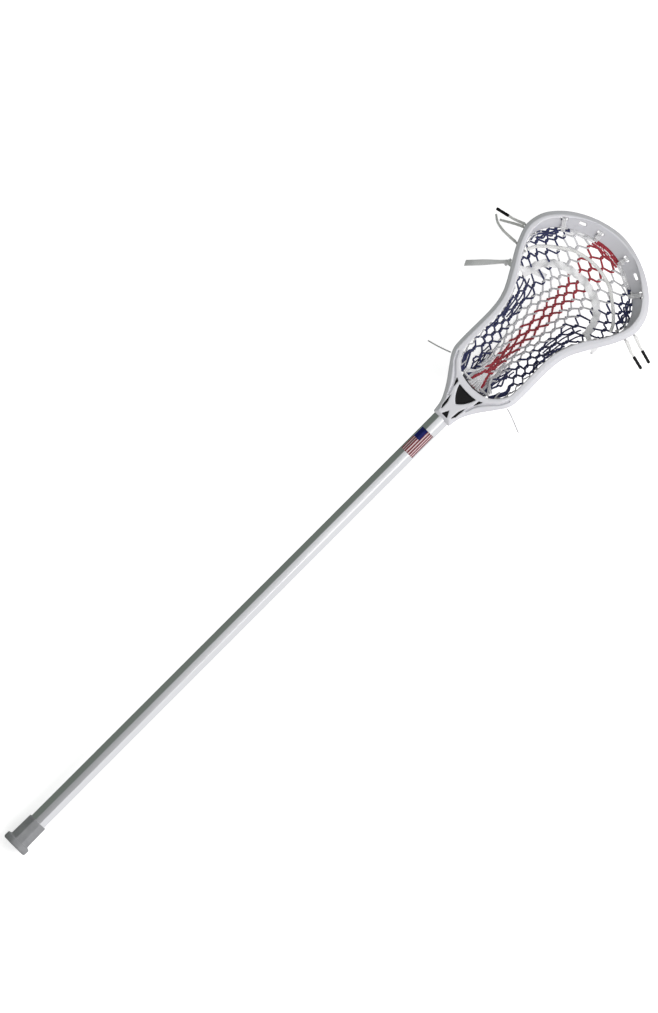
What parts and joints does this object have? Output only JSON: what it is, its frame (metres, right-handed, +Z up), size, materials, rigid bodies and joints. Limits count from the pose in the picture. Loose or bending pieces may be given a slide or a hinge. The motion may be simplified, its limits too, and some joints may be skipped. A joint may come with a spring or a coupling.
{
  "type": "lacrosse stick",
  "caption": "Lacrosse stick: octagonal metal shaft, rubber end cap, moulded white head and a striped netting pocket with strings.",
  "frame": {"origin": "on the ground under the middle of the stick, which lies on its back", "axes": "+X along the stick from the butt to the scoop, +Z up out of the open face of the head, +Y to the left"},
  "size_m": [1.0342, 0.2629, 0.1121],
  "materials": {
    "shaft_metal": "satin anodised, faceted",
    "cap_rubber": "matte grey rubber",
    "head_plastic": "smooth white moulded nylon with a soft sheen",
    "screw_steel": "plain zinc plated",
    "badge_plastic": "fine textured black insert",
    "pad_foam": "closed-cell foam",
    "decal_film": "printed film with plain red, white and blue bands",
    "netting": "knotted netting in navy, white and red",
    "string": "white braided nylon",
    "lace": "white round lace",
    "webbing": "white flat strap",
    "tip_plastic": "black heat-shrunk tip"
  },
  "bodies": {
    "root": {"shaft": "shaft_metal", "end_cap": "cap_rubber", "head_frame": "head_plastic", "head_screw": "screw_steel", "throat_badge": "badge_plastic", "ball_stop_pad": "pad_foam", "shaft_decal": "decal_film", "mesh_pocket": "netting", "mesh_tail": "netting", "sidewall_string_left": "string", "sidewall_string_right": "string", "top_string": "string", "scoop_loop_1": "string", "scoop_loop_2": "string", "scoop_loop_3": "string", "scoop_loop_4": "string", "bottom_string": "string", "shooting_lace": "lace", "shooting_strap": "webbing", "lace_end_left_curl": "lace", "lace_end_left_bare": "lace", "lace_end_left_tipped": "lace", "lace_end_right_upper": "lace", "lace_end_right_lower": "lace", "string_end_left": "string", "string_end_right": "string", "string_end_throat": "string", "lace_tip_left": "tip_plastic", "lace_tip_right_upper": "tip_plastic", "lace_tip_right_lower": "tip_plastic", "strap_end": "webbing"}
  },
  "joints": []
}
